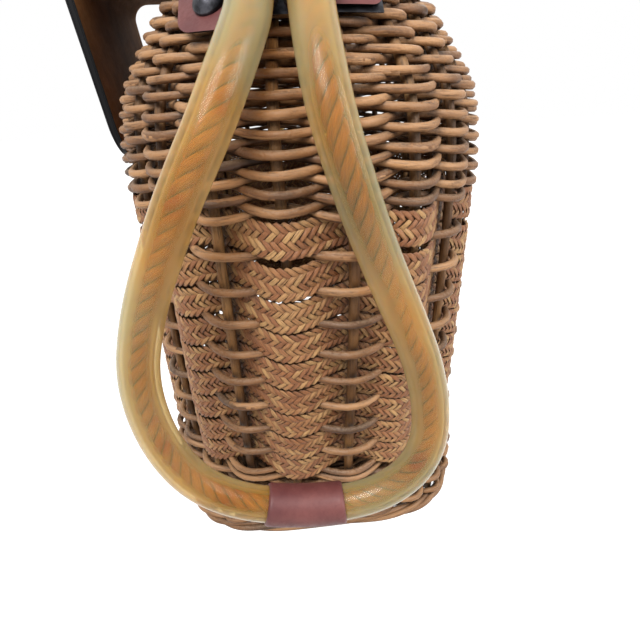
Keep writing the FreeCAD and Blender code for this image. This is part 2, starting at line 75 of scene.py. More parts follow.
# height, half width and half length, each as a share of the three sizes above
OUTLINE_SHARES = (
    (0.00, 0.875, 0.826),
    (0.10, 0.972, 0.855),
    (0.28, 1.000, 0.905),
    (0.48, 0.989, 0.966),
    (0.62, 0.983, 1.000),
    (0.74, 0.980, 0.996),
    (0.83, 0.938, 0.946),
    (0.93, 0.777, 0.800),
    (1.00, 0.590, 0.705),
)
BULGE_SHARE = 0.62
STAKE_COUNT = 30
STAKE_RADIUS = 2.0 * MM
STAKE_INSET = 5.7 * MM
FOOT_FLARE = 1.4 * MM
FINE_TURNS = 1440
# Points closer than this are welded into one
WELD = 0.002 * MM
UP = Vector((0, 0, 1))
NEARWARD = Vector((0, -1, 0))
# Edges flatter than the first are dissolved, sharper than the second bevelled, flatter than the third smooth
FLAT_ANGLE, SHARP_ANGLE, SHADED_ANGLE = math.radians(0.5), math.radians(35), math.radians(40)


def linear(hex_colour):
    """Turn an sRGB hex colour into linear red, green, blue and full alpha."""
    values = [int(hex_colour[i:i + 2], 16) / 255 for i in (1, 3, 5)]
    return [v / 12.92 if v <= 0.04045 else ((v + 0.055) / 1.055) ** 2.4 for v in values] + [1.0]


def signed_power(value, power):
    """Raise the size of a number to a power and keep its sign."""
    return math.copysign(abs(value) ** power, value)


def half_sizes(z):
    """Half width and half length of the woven outside at height z, on one smooth curve."""
    rows = [(s * BODY_HEIGHT, w * HALF_WIDTH, l * HALF_LENGTH) for s, w, l in OUTLINE_SHARES]
    index = 0
    while index < len(rows) - 2 and z > rows[index + 1][0]:
        index += 1
    low, high = rows[index], rows[index + 1]
    span = high[0] - low[0]
    part = min(max((z - low[0]) / span, 0.0), 1.0)
    beyond = z - low[0] - part * span
    sizes = []
    for column in (1, 2):
        slopes = []
        for place in (index, index + 1):
            before, after = rows[max(place - 1, 0)], rows[min(place + 1, len(rows) - 1)]
            slopes.append((after[column] - before[column]) / (after[0] - before[0]))
        square, cube = part ** 2, part ** 3
        sizes.append((2 * cube - 3 * square + 1) * low[column] + (cube - 2 * square + part) * span * slopes[0]
                     + (3 * square - 2 * cube) * high[column] + (cube - square) * span * slopes[1]
                     + beyond * slopes[1 if beyond > 0 else 0])
    return sizes


def oval_power(z):
    """How square the oval is at height z: squarer at the ground, settled in the foot's upper part."""
    part = min(max(z / (FOOT_HEIGHT * FOOT_SETTLED_SHARE), 0.0), 1.0)
    return FOOT_POWER_SHARE + (OVAL_POWER_SHARE - FOOT_POWER_SHARE) * (3 * part ** 2 - 2 * part ** 3)


def on_oval(turn, half_width, half_length, z, squareness):
    """A point of an oval; turn 0 is the near end's middle, and it runs towards +X."""
    power = 2 / squareness
    return Vector((half_width * signed_power(math.sin(turn), power),
                   -half_length * signed_power(math.cos(turn), power), z))


def oval_point(turn, z, offset):
    """A point of the woven outside at height z, moved out by offset."""
    half_width, half_length = half_sizes(z)
    return on_oval(turn, half_width + offset, half_length + offset, z, oval_power(z))


def walked(line):
    """The length walked to each point of a line."""
    lengths = [0.0]
    for a, b in zip(line, line[1:]):
        lengths.append(lengths[-1] + (b - a).length)
    return lengths


def girth_table():
    """Turns round the bulge with the girth walked to each, in stake spacings."""
    turns = [2 * math.pi * i / FINE_TURNS for i in range(FINE_TURNS + 1)]
    lengths = walked([oval_point(t, BODY_HEIGHT * BULGE_SHARE, 0) for t in turns])
    return turns, [w * STAKE_COUNT / lengths[-1] for w in lengths]


TURNS, STEPS = girth_table()


def turn_at(step):
    """The turn that lies so many stake spacings round from the near end's middle."""
    rounds, inside = divmod(step, STAKE_COUNT)
    place = min(bisect_right(STEPS, inside), FINE_TURNS) - 1
    share = (inside - STEPS[place]) / (STEPS[place + 1] - STEPS[place])
    return TURNS[place] + share * (TURNS[1] - TURNS[0]) + 2 * math.pi * rounds


def wall_point(step, z, offset):
    """A point of the woven wall, so many stake spacings round and moved out by offset."""
    return oval_point(turn_at(step), z, offset)


def lean_stretch(z):
    """How much longer a level step through the wall is than a square one, at the wall's steepest lean."""
    low, high = half_sizes(z - STAKE_RADIUS), half_sizes(z + STAKE_RADIUS)
    slope = max(abs(high[0] - low[0]), abs(high[1] - low[1])) / (2 * STAKE_RADIUS)
    return math.sqrt(1 + slope ** 2)


def weave_side(step, first):
    """1 outside a stake, -1 inside the next one, on a smooth wave; first is the stake passed outside."""
    return math.cos(math.pi * (step - 0.5 - first))


class Wobble:
    """A small uneven wave that closes after one round of the basket."""

    def __init__(self, dice, size, waves=5, slowest=1, fastest=9):
        self.parts = [(dice.randint(slowest, fastest), dice.uniform(0, 2 * math.pi),
                       size * dice.uniform(0.3, 1)) for _ in range(waves)]

    def at(self, step):
        round_share = 2 * math.pi * step / STAKE_COUNT
        return sum(s * math.sin(n * round_share + p) for n, p, s in self.parts) / math.sqrt(len(self.parts))


def node(tree, kind, inputs=None, **settings):
    """Add one shader node, set its properties, then set its inputs or link them to other nodes' outputs."""
    made = tree.nodes.new(kind)
    for key, value in settings.items():
        setattr(made, key, value)
    for key, value in (inputs or {}).items():
        if isinstance(value, bpy.types.NodeSocket):
            tree.links.new(value, made.inputs[key])
        else:
            made.inputs[key].default_value = value
    return made


def empty_tree(owner):
    """The emptied node tree of a material or a world."""
    owner.use_nodes = True
    owner.node_tree.nodes.clear()
    return owner.node_tree


def new_material(name):
    """An empty material and its tree."""
    material = bpy.data.materials.new(name)
    return material, empty_tree(material)


def calculate(tree, operation, first, second):
    """Work out one sum of two values, each a socket or a number."""
    return node(tree, "ShaderNodeMath", {0: first, 1: second}, operation=operation).outputs[0]


def between(tree, value, low, high, to_low=0.0, to_high=1.0):
    """Map a value from one span to another, clamped."""
    span = {"Value": value, "From Min": low, "From Max": high, "To Min": to_low, "To Max": to_high}
    return node(tree, "ShaderNodeMapRange", span).outputs[0]


def tint(tree, tone, hex_colour, value, low, high, to_low=0.0, to_high=1.0):
    """Blend a tone, a socket or a linear colour, towards another colour by a value mapped as above."""
    share = between(tree, value, low, high, to_low, to_high)
    mix = node(tree, "ShaderNodeMix", {0: share, 6: tone, 7: linear(hex_colour)}, data_type="RGBA")
    return mix.outputs[2]


def stretched_noise(tree, place, scale, detail=3.0, roughness=0.6):
    """Noise in a space stretched by scale, which is cells per metre along each axis."""
    mapping = node(tree, "ShaderNodeMapping", {"Vector": place, "Scale": scale})
    return node(tree, "ShaderNodeTexNoise", {
        "Vector": mapping.outputs[0], "Scale": 1.0, "Detail": detail, "Roughness": roughness}).outputs["Fac"]


def object_noise(tree, cells_mm, detail=3.0, roughness=0.6):
    """Noise on the piece's own coordinates, with cells of a size in millimetres."""
    place = node(tree, "ShaderNodeTexCoord").outputs["Object"]
    return stretched_noise(tree, place, (1 / (cells_mm * MM),) * 3, detail, roughness)


def shade_and_grime(tree, tone, reach, low, high, most, only_local=False):
    """Darken a tone in the crevices between surfaces within reach: painted shade, partly old grime."""
    # Ambient occlusion paints shade as dark colour wherever other surfaces lie close by
    hidden = node(tree, "ShaderNodeAmbientOcclusion", {"Distance": reach}, samples=4, only_local=only_local)
    return tint(tree, tone, "#1C110A", hidden.outputs["AO"], low, high, most, 0.0)


def dress(tree, tone, roughness, height, strength, depth_mm, gloss=0.5, metallic=0.0):
    """Give a material its surface, bumped by a height."""
    bump = node(tree, "ShaderNodeBump", {"Height": height, "Strength": strength, "Distance": depth_mm * MM})
    shader = node(tree, "ShaderNodeBsdfPrincipled", {
        "Base Color": tone, "Roughness": roughness, "Normal": bump.outputs[0],
        "Specular IOR Level": gloss, "Metallic": metallic})
    node(tree, "ShaderNodeOutputMaterial", {0: shader.outputs[0]})


def tones(look, kind, *names):
    """The hex tones of one kind of stuff, out of a group of settings."""
    return [getattr(look, kind + "_" + name) for name in names]


# The tones' name in the settings, then dust with painted top light, grain in mm, gloss, and how dark single
# rods can be
FIBRES = {
    "varnished_willow": ("willow", 0.4, 0.5, 0.45, 0.8),
    "plaited_straw": ("straw", 0.15, 0.25, 0.5, 0.35),
    "unpeeled_willow": ("stake", 0.3, 0.5, 0.35, 0.6),
}


def rod_material(name):
    """Dry plant fibre: grain along the piece, slow changes of tone, dust with painted top light on top,
    painted shade with some grime in the crevices.

    UV x is metres along the rod and UV y metres round it, with each rod on its own band.
    """
    look = bpy.context.scene.creel_weave
    kind, dust_and_light_share, grain_mm, gloss, darkest = FIBRES[name]
    light, middle, dark = tones(look, kind, "light", "middle", "dark")
    material, tree = new_material(name)
    uv = node(tree, "ShaderNodeUVMap", uv_map="UVMap").outputs[0]
    place = node(tree, "ShaderNodeTexCoord").outputs["Object"]
    slow = stretched_noise(tree, uv, (30, 30, 1), detail=2.0)
    own = stretched_noise(tree, uv, (4, 9, 1), detail=1.0)
    grain = stretched_noise(tree, uv, (90, 0.5 / (grain_mm * MM), 1), detail=4.0, roughness=0.7)
    specks = stretched_noise(tree, place, (900, 900, 900), detail=2.0)
    own = calculate(tree, "ADD", own, slow)
    tone = tint(tree, linear(dark), middle, own, 0.74, 0.96, 1 - darkest, 1.0)
    tone = tint(tree, tone, light, own, 0.94, 1.16)
    tone = tint(tree, tone, dark, grain, 0.5, 0.7, 0.0, 0.8)
    # Dust with painted top light: faces turned up are tinted towards a pale greyish tone, in specks
    normal = node(tree, "ShaderNodeNewGeometry").outputs["Normal"]
    up = node(tree, "ShaderNodeSeparateXYZ", {0: normal}).outputs[2]
    dust_and_top_light = calculate(tree, "MULTIPLY", between(tree, up, -0.1, 0.9), between(tree, specks, 0.3, 0.6))
    tone = tint(tree, tone, look.dust_colour, dust_and_top_light, 0.0, 1.0, 0.0, dust_and_light_share)
    # Painted shade, with some grime: darker where other rods and stakes crowd close, in the gaps
    tone = shade_and_grime(tree, tone, 5 * MM, 0.25, 0.8, 0.85)
    height = calculate(tree, "ADD", grain, specks)
    rough = between(tree, grain, 0.3, 0.8, 0.4, 0.75)
    dress(tree, tone, rough, height, 0.8, 0.35, gloss)
    return material


def wrap_tube(bm, spine, sides, band, roundness=1.0):
    """Wrap a grid round a spine, a list of (centre, across, up) whose vectors are half sizes.

    A roundness under 1 makes the section boxy. The first row meets the last where the spine closes; the
    caller welds. UVs are in metres.
    """
    rows = len(spine) - 1
    uv = bm.loops.layers.uv.get("UVMap") or bm.loops.layers.uv.new("UVMap")
    grid = bmesh.ops.create_grid(bm, x_segments=rows, y_segments=sides, size=0.5)["verts"]
    lengths = walked([centre for centre, _, _ in spine])
    girth = math.pi * (spine[0][1].length + spine[0][2].length)
    for face in {face for vert in grid for face in vert.link_faces}:
        face.smooth = True
        for loop in face.loops:
            place = loop.vert.co
            row = round((place.x + 0.5) * rows)
            loop[uv].uv = (lengths[row], band + (place.y + 0.5) * girth)
    turns = [2 * math.pi * (j + 0.5) / sides for j in range(sides + 1)]
    rings = [(signed_power(math.cos(t), roundness), -signed_power(math.sin(t), roundness)) for t in turns]
    for vert in grid:
        row, side = round((vert.co.x + 0.5) * rows), round((vert.co.y + 0.5) * sides)
        centre, across, up = spine[row]
        share, rise = rings[side]
        vert.co = centre + across * share + up * rise
    return grid


def close_ends(bm):
    """Weld the seams and cap what stays open."""
    bmesh.ops.remove_doubles(bm, verts=bm.verts, dist=WELD)
    open_edges = [edge for edge in bm.edges if edge.is_boundary]
    if open_edges:
        bmesh.ops.holes_fill(bm, edges=open_edges, sides=0)


def add_object(name, data):
    """Hang an object with this data in the scene, at the origin."""
    made = bpy.data.objects.new(name, data)
    bpy.context.scene.collection.objects.link(made)
    return made


def mesh_object(bm, name, material):
    """Write a mesh into an object at the origin and give it its material."""
    mesh = bpy.data.meshes.new(name)
    bm.to_mesh(mesh)
    bm.free()
    mesh.materials.append(material)
    return add_object(name, mesh)


def finish_piece(bm, name, material, body, replaced=()):
    """Make a piece of a mesh and tie it to its body."""
    piece = mesh_object(bm, name, material)
    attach(piece, body)
    if replaced:
        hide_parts(*replaced)
    return piece


def finish_rods(bm, name, cad_node):
    """Close a mesh of willow rods and make it a piece of the basket."""
    close_ends(bm)
    finish_piece(bm, name, rod_material("varnished_willow"), "basket", [cad_node])


def round_frames(centres, radii, references=(UP,), depths=None):
    """Give each centre of a line two vectors square to it, half a width and half a depth, for wrap_tube.

    The second lies near its reference. Without depths the section is round. A short list starts again.
    """
    spine = []
    last = len(centres) - 1
    closed = (centres[0] - centres[last]).length < WELD
    for i, centre in enumerate(centres):
        before = centres[last - 1 if closed and i == 0 else max(i - 1, 0)]
        after = centres[1 if closed and i == last else min(i + 1, last)]
        along = (after - before).normalized()
        across = along.cross(references[i % len(references)]).normalized()
        up = across.cross(along).normalized()
        width, depth = (sizes[i % len(sizes)] for sizes in (radii, depths or radii))
        spine.append((centre, across * width, up * depth))
    return spine


# The tones' name in the settings and the rubbed tone, then grain in mm, gloss and roughness
LEATHERS = {
    "oxblood_leather": ("oxblood", "#C9B8B0", 0.9, 0.4, 0.5),
    "inked_edge": ("edge", "#2A2A2E", 0.5, 0.15, 0.5),
    "cover_hide": ("hide", "#8A7460", 0.9, 0.3, 0.6),
    "lining_hide": ("lining", "#A0764A", 1.4, 0.1, 0.8),
    "waxed_linen_thread": ("thread", "#D6C49A", 0.4, 0.3, 0.7),
}
# The tones' name in the settings, then roughness where rubbed and how metallic
METALS = {"blackened_iron": ("iron", 0.28, 0.7), "old_brass": ("brass", 0.3, 1.0)}


def leather_material(name):
    """Dressed hide or waxed thread: pebbled grain, slow changes of tone, rubbed specks, a dull sheen."""
    kind, scuff, grain_mm, gloss, roughness = LEATHERS[name]
    light, dark = tones(bpy.context.scene.creel_leather, kind, "light", "dark")
    material, tree = new_material(name)
    place = node(tree, "ShaderNodeTexCoord").outputs["Object"]
    pebble = node(tree, "ShaderNodeTexVoronoi", {"Vector": place, "Scale": 1 / (grain_mm * MM)},
                  feature="SMOOTH_F1").outputs["Distance"]
    slow, fine = object_noise(tree, 14), object_noise(tree, 1.6, detail=5.0)
    tone = tint(tree, linear(dark), light, slow, 0.25, 0.75)
    tone = tint(tree, tone, dark, fine, 0.5, 0.75, 0.0, 0.35)
    tone = tint(tree, tone, scuff, object_noise(tree, 2.2, detail=6.0), 0.7, 0.78, 0.0, 0.6)
    rough = between(tree, fine, 0.3, 0.7, roughness - 0.1, roughness + 0.12)
    dress(tree, tone, rough, pebble, 0.35, 0.12, gloss)
    return material


def metal_material(name):
    """Handled metal: a bright rubbed tone over darker tarnish, with fine scratches."""
    kind, roughness, metallic = METALS[name]
    light, dark = tones(bpy.context.scene.creel_leather, kind, "light", "dark")
    material, tree = new_material(name)
    tarnish, scratch = object_noise(tree, 5, detail=6.0, roughness=0.7), object_noise(tree, 0.6)
    tone = tint(tree, linear(dark), light, tarnish, 0.4, 0.62)
    rough = between(tree, tarnish, 0.35, 0.65, roughness + 0.18, roughness)
    dress(tree, tone, rough, scratch, 0.15, 0.05, metallic=metallic)
    return material


def vinyl_material():
    """Aged clear vinyl tube: amber, glossy, milky in patches, with the rope showing through."""
    look = bpy.context.scene.creel_handle
    material, tree = new_material("aged_vinyl")
    uv = node(tree, "ShaderNodeUVMap", uv_map="UVMap").outputs[0]
    cloud = stretched_noise(tree, uv, (35, 60, 1))
    tone = tint(tree, linear(look.tube_deep), look.tube_light, cloud, 0.35, 0.65)
    tone = tint(tree, tone, look.tube_grey, object_noise(tree, 60, detail=1.0), 0.45, 0.62)
    slant = node(tree, "ShaderNodeLayerWeight", {"Blend": 0.35}).outputs["Facing"]
    milky = between(tree, object_noise(tree, 45, detail=2.0), 0.4, 0.62, look.tube_cloudiness, look.tube_milk)
    opaque = node(tree, "ShaderNodeMix", {0: between(tree, slant, 0.1, 0.75), 2: milky, 3: 0.9}).outputs[0]
    shadow = node(tree, "ShaderNodeLightPath").outputs["Is Shadow Ray"]
    opaque = node(tree, "ShaderNodeMix", {0: shadow, 2: opaque, 3: 0.12}).outputs[0]
    shader = node(tree, "ShaderNodeBsdfPrincipled", {
        "Base Color": tone, "Roughness": 0.22, "Specular IOR Level": 0.5, "Subsurface Weight": 0.35,
        "Subsurface Scale": 4 * MM, "Subsurface Radius": (1.0, 0.6, 0.25), "Coat Weight": 0.3,
        "Coat Roughness": 0.08})
    clear = node(tree, "ShaderNodeBsdfTransparent", {"Color": linear(look.tube_tint)})
    both = node(tree, "ShaderNodeMixShader", {0: opaque, 1: clear.outputs[0], 2: shader.outputs[0]})
    node(tree, "ShaderNodeOutputMaterial", {0: both.outputs[0]})
    return material


def rope_material():
    """Twisted jute: dry orange brown fibres, rust red in spots, with painted shade between the strands."""
    look = bpy.context.scene.creel_handle
    material, tree = new_material("jute_rope")
    uv = node(tree, "ShaderNodeUVMap", uv_map="UVMap").outputs[0]
    fibre = stretched_noise(tree, uv, (200, 4000, 1))
    place = node(tree, "ShaderNodeTexCoord").outputs["Object"]
    stain = node(tree, "ShaderNodeTexVoronoi", {"Vector": place, "Scale": 1 / look.stain_spacing})
    tone = tint(tree, linear(look.rope_dark), look.rope_light, fibre, 0.35, 0.65)
    tone = tint(tree, tone, look.rust_colour, stain.outputs["Distance"], 0.18, 0.45, 1.0, 0.0)
    # Painted shade in the grooves between the strands, from the rope's own occlusion
    tone = shade_and_grime(tree, tone, 2 * MM, 0.35, 0.85, 0.9, only_local=True)
    dress(tree, tone, 0.85, fibre, 0.6, 0.2, gloss=0.2)
    return material


def softened_copy(name, cad_node, materials, body, bevel, segments=2, choose=None):
    """A copy of a CAD piece with its sharp edges rounded; choose picks each face's material by number."""
    bm = bmesh.new()
    bm.from_mesh(frame["nodes"][cad_node].data)
    bmesh.ops.remove_doubles(bm, verts=bm.verts, dist=WELD)
    bmesh.ops.dissolve_limit(bm, angle_limit=FLAT_ANGLE, verts=bm.verts, edges=bm.edges)
    sharp = [e for e in bm.edges if len(e.link_faces) == 2 and e.calc_face_angle() > SHARP_ANGLE]
    for face in bm.faces:
        face.material_index = choose(face) if choose else 0
    bmesh.ops.bevel(bm, geom=sharp, offset=bevel, offset_type="OFFSET", segments=segments, profile=0.5,
                    affect="EDGES", material=-1, clamp_overlap=True)
    for face in bm.faces:
        face.smooth = True
    for edge in bm.edges:
        edge.smooth = len(edge.link_faces) != 2 or edge.calc_face_angle(0) < SHADED_ANGLE
    piece = finish_piece(bm, name, materials[0], body, [cad_node])
    for extra in materials[1:]:
        piece.data.materials.append(extra)
    return piece


def measure(name, description, millimetres):
    """A setting for a length."""
    return FloatProperty(name=name, description=description, default=millimetres * MM, unit="LENGTH")


def colours(**tones_by_name):
    """Settings for colours, each labelled by its name."""
    return {key: StringProperty(name=key.replace("_", " ").capitalize(), description="sRGB hex", default=tone)
            for key, tone in tones_by_name.items()}


class WeaveSettings(bpy.types.PropertyGroup):
    """Sizes and colours of rods, stakes and plaits"""

    rod_radius: measure("Rod radius", "Half the thickness of a woven rod", 1.55)
    rod_rows: IntProperty(name="Rows of rods", description="Close rows between plaits and rim", default=30)
    plait_rows: IntProperty(name="Plaits", description="Rows of flat plait below the rods", default=9)
    plait_height: measure("Plait height", "Width of a flat plait", 13.5)
    plait_pitch: measure("Plait pitch", "From one plait to the next, with a rod between", 13.9)
    plait_droop: measure("Plait droop", "How far a plait sinks where it passes outside", 4.4)
    strand_count: IntProperty(name="Strands", description="Strands in a flat plait", default=9)
    seed: IntProperty(name="Seed", description="Changes the small unevenness", default=7)
    # The dust colour also stands for painted light on the rods' tops
    __annotations__.update(colours(
        willow_light="#B5865A", willow_middle="#845A36", willow_dark="#2E1B10", straw_light="#BC9260",
        straw_middle="#97623C", straw_dark="#4A2814", stake_light="#AA8050", stake_middle="#7C5631",
        stake_dark="#2E1B10", dust_colour="#A68E74"))


class HandleSettings(bpy.types.PropertyGroup):
    """Sizes and colours of the tube handles"""

    tube_radius: measure("Tube radius", "Outside of the vinyl tube", 7.0)
    bore_radius: measure("Bore radius", "Inside of the vinyl tube", 5.0)
    rope_lay: measure("Rope lay", "Length of one turn of the rope's strands", 18.0)
    stain_spacing: measure("Stain spacing", "From one rust stain on the rope to the next", 14.0)
    tube_cloudiness: FloatProperty(name="Cloudiness", description="How much of the rope the tube hides",
                                   default=0.16, min=0.0, max=1.0)
    tube_milk: FloatProperty(name="Milkiness", description="The same, where the tube has gone milky",
                             default=0.26, min=0.0, max=1.0)
    __annotations__.update(colours(
        tube_light="#DDBB7C", tube_tint="#F2E2BE", tube_deep="#C09A58", tube_grey="#B8AE84",
        rope_light="#CC8A44", rope_dark="#8A5222", rust_colour="#A03312"))


class LeatherSettings(bpy.types.PropertyGroup):
    """Colours of leather and metal, and the stitching"""

    stitch_length: measure("Stitch", "Length of one stitch", 4.0)
    stitch_inset: measure("Stitch inset", "From the lid's edge to the stitches", 5.0)
    __annotations__.update(colours(
        oxblood_light="#764440", oxblood_dark="#4E2426", hide_light="#5C4232", hide_dark="#3C2B20",
        lining_light="#8A5E38", lining_dark="#684526", edge_light="#0C0C0E", edge_dark="#08080A",
        thread_light="#B99B6B", thread_dark="#8A6E48", brass_light="#A88A50", brass_dark="#66502E",
        iron_light="#4A4A50", iron_dark="#1E1E22"))


class CREEL_OT_stage(bpy.types.Operator):
    """Set the camera, lamps, world and floor"""

    bl_idname = "creel.stage"
    bl_label = "Stage"

    def execute(self, context):
        scene = context.scene
        scene.view_settings.view_transform = "Standard"
        pitch, yaw, roll = 25.0, 4.15, -2.24
        place = Matrix.Translation(Vector((-12.2, -301.5, 200.3)) * MM)
        for degrees, axis in ((-yaw, "Z"), (90 - pitch, "X"), (roll, "Z")):
            place = place @ Matrix.Rotation(math.radians(degrees), 4, axis)
        camera = add_object("camera", bpy.data.cameras.new("camera"))
        focal_px, frame_px = 485.0, 640.0
        camera.data.lens = focal_px / frame_px * camera.data.sensor_width
        camera.data.clip_start = 10 * MM
        camera.matrix_world = place
        scene.camera = camera
        self.light(scene)
        self.floor()
        return {"FINISHED"}

    def light(self, scene):
        """A white world seen by the camera, a soft sky for the object, and large lamps above."""
        world = bpy.data.worlds.new("studio")
        tree = empty_tree(world)
        strength = node(tree, "ShaderNodeMix", {0: seen_ray(tree), 2: 0.27, 3: 1.0}).outputs[0]
        background = node(tree, "ShaderNodeBackground", {"Color": linear("#FFFFFF"), "Strength": strength})
        node(tree, "ShaderNodeOutputWorld", {0: background.outputs[0]})
        scene.world = world
        lamps = (("key", (-0.35, -0.75, 0.95), 0.7, 14.5), ("fill", (0.8, -0.6, 0.6), 0.7, 7.0),
                 ("back", (0.2, 0.9, 0.9), 1.0, 4.5))
        target = Vector((0, 0, BODY_HEIGHT / 2))
        for name, place, size, power in lamps:
            lamp = bpy.data.lights.new(name, "AREA")
            lamp.shape = "DISK"
            lamp.size = size
            lamp.energy = power
            made = add_object(name, lamp)
            made.location = place
            made.rotation_euler = (target - Vector(place)).to_track_quat("-Z", "Y").to_euler()

    def floor(self):
        """A pale floor that the camera sees as white except where the object shades it."""
        bm = bmesh.new()
        bmesh.ops.create_grid(bm, x_segments=1, y_segments=1, size=3.0)
        material, tree = new_material("pale_floor")
        paper = node(tree, "ShaderNodeBsdfDiffuse", {"Color": linear("#A8A6A2")})
        glow = node(tree, "ShaderNodeEmission", {"Color": linear("#FFFFFF"), "Strength": 1.0})
        lit = node(tree, "ShaderNodeAddShader", {0: paper.outputs[0], 1: glow.outputs[0]})
        both = node(tree, "ShaderNodeMixShader", {0: seen_ray(tree), 1: paper.outputs[0], 2: lit.outputs[0]})
        node(tree, "ShaderNodeOutputMaterial", {0: both.outputs[0]})
        mesh_object(bm, "floor", material)


def seen_ray(tree):
    """1 for rays from the camera and for those that mirror or pass through, else 0."""
    path = node(tree, "ShaderNodeLightPath").outputs
    mirrored = calculate(tree, "MAXIMUM", path["Is Camera Ray"], path["Is Glossy Ray"])
    return calculate(tree, "MAXIMUM", mirrored, path["Is Transmission Ray"])


def start_weave(context, number):
    """The weave's settings, the dice of one group of pieces, and an empty mesh."""
    look = context.scene.creel_weave
    return look, random.Random(look.seed + number), bmesh.new()


def woven_row(bm, z, first, radius, dice, rise=0.6 * MM, flare=0.0, twist=0.0):
    """One row of rods that pass outside every other stake, each lapping the next where it ends."""
    per_step, sides, lap, lap_rows, tip_share, slack_share = 6, 8, 0.45, 4, 0.62, 1.25
    shortest, longest, unevenness = 4, 9, 0.14
    height, swell = Wobble(dice, rise), Wobble(dice, unevenness)
    swing = (STAKE_RADIUS + radius) * slack_share
    start = dice.uniform(0, STAKE_COUNT)
    cuts = [start]
    while cuts[-1] < start + STAKE_COUNT - 2 * shortest:
        cuts.append(cuts[-1] + dice.uniform(shortest, longest))
    cuts.append(start + STAKE_COUNT)
    for low, high in zip(cuts, cuts[1:]):
        count = round((high - low + 2 * lap) * per_step)
        centres, radii = [], []
        for i in range(count + 1):
            step = low - lap + (high - low + 2 * lap) * i / count
            head, tail = max(0.0, 1 - i / lap_rows), max(0.0, 1 - (count - i) / lap_rows)
            side = weave_side(step, first)
            level = z + height.at(step) + radius * 0.5 * (head - tail) + twist * side
            offset = flare - STAKE_INSET * lean_stretch(z) + swing * side
            centres.append(wall_point(step, level, offset))
            radii.append(radius * (1 + swell.at(step)) * (1 - (1 - tip_share) * max(head, tail) ** 2))
        wrap_tube(bm, round_frames(centres, radii), sides, dice.uniform(0, 9))


def twisted_ring(bm, z, offset, strands, strand_radius, twist_radius, dice):
    """Rods twisted round each other into one closed border, a full turn in as many stakes as rods."""
    per_step, sides, unevenness = 8, 8, 0.05
    count = STAKE_COUNT * per_step
    line = [[wall_point(i / per_step, z, offset + beyond) for beyond in (0, MM)] for i in range(count)]
    for strand in range(strands):
        centres = []
        for i, (middle, outer) in enumerate(line):
            turn = 2 * math.pi * (i / per_step / strands + strand / strands)
            out = (outer - middle).normalized()
            centres.append(middle + twist_radius * (out * math.cos(turn) + UP * math.sin(turn)))
        swell = Wobble(dice, unevenness)
        radii = [strand_radius * (1 + swell.at(i / per_step)) for i in range(count)]
        centres.append(centres[0].copy())
        radii.append(radii[0])
        wrap_tube(bm, round_frames(centres, radii), sides, dice.uniform(0, 9))


class CREEL_OT_upper_weave(bpy.types.Operator):
    """Weave the close rows of single rods between the plaits and the rim"""

    bl_idname = "creel.upper_weave"
    bl_label = "Upper weave"

    def execute(self, context):
        look, dice, bm = start_weave(context, 0)
        pitch = (BODY_HEIGHT - BRAIDED_TOP) / look.rod_rows
        most_droop = -1.7 * MM
        for row in range(look.rod_rows):
            droop = most_droop * (1 - row / look.rod_rows) ** 2
            woven_row(bm, BRAIDED_TOP + pitch * (row + 0.5), row % 2, look.rod_radius, dice, twist=droop)
        finish_rods(bm, "upper_weave", "upper_wall")
        return {"FINISHED"}


class CREEL_OT_stakes(bpy.types.Operator):
    """Stand the upright rods that the wall is woven on"""

    bl_idname = "creel.stakes"
    bl_label = "Stakes"

    def execute(self, context):
        _, dice, bm = start_weave(context, 1)
        rows, sides, most_lean = 40, 8, 0.04
        low, high = 4 * MM, BODY_HEIGHT + 4 * MM
        for k in range(STAKE_COUNT):
            lean, swell = dice.uniform(-most_lean, most_lean), dice.uniform(0.92, 1.04)
            centres = []
            for i in range(rows + 1):
                z = low + (high - low) * i / rows
                step = k + 0.5 + lean * math.sin(3 * math.pi * i / rows)
                flare = FOOT_FLARE * min(max(2 * (1 - z / FOOT_HEIGHT), 0), 1)
                centres.append(wall_point(step, z, flare - STAKE_INSET * lean_stretch(z)))
            outward = [Vector((centre.x, centre.y, 0)) for centre in centres]
            wrap_tube(bm, round_frames(centres, [STAKE_RADIUS * swell], outward), sides, k * 0.1)
        close_ends(bm)
        bmesh.ops.recalc_face_normals(bm, faces=bm.faces)
        finish_piece(bm, "stakes", rod_material("unpeeled_willow"), "basket", ["wall_stakes"])
        return {"FINISHED"}


